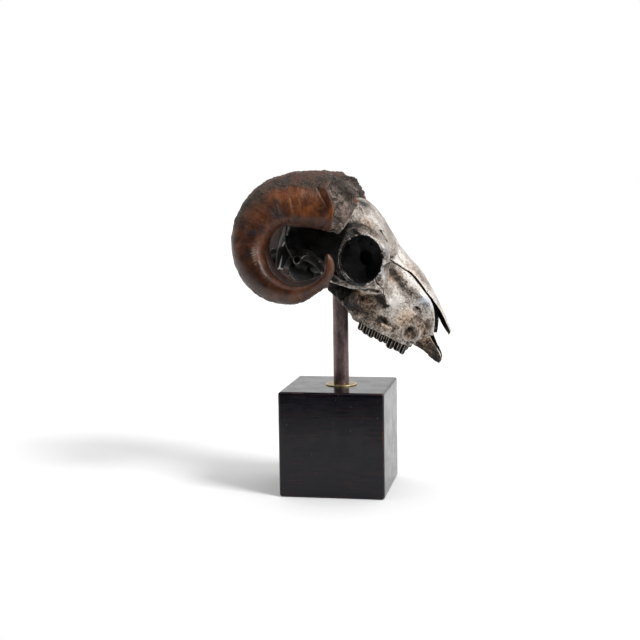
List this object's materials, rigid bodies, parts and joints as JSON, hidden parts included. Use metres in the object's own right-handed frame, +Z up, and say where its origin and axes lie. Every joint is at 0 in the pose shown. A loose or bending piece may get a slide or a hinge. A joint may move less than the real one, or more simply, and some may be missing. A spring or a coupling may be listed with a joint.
{
  "type": "mounted ram skull",
  "caption": "Ram's skull with coiled horns, held nose-down on a metal rod with a brass washer, set in a black cube-shaped wooden block.",
  "frame": {"origin": "middle of the block's underside, where it rests", "axes": "+Z up along the rod; +X toward the skull's nose; +Y toward the animal's left side"},
  "size_m": [0.2364, 0.2224, 0.3668],
  "materials": {
    "bone": "silvered bone with a dark patina, satin to bright",
    "horn": "polished horn sheath, satin",
    "collar": "rough bone at the horn's base",
    "ebonised_wood": "ebonised and polished",
    "rod_metal": "brown patina, satin",
    "brass": "satin"
  },
  "bodies": {
    "root": {"stand_block": "ebonised_wood", "stand_washer": "brass", "stand_rod": "rod_metal", "cranium": "bone", "horn_right": "horn", "horn_left": "horn", "horn_collar_right": "collar", "horn_collar_left": "collar", "upper_jaw_right": "bone", "premaxilla_right": "bone", "nasal_bone_right": "bone", "cheekbone_right": "bone", "upper_jaw_left": "bone", "premaxilla_left": "bone", "nasal_bone_left": "bone", "cheekbone_left": "bone"}
  },
  "joints": []
}
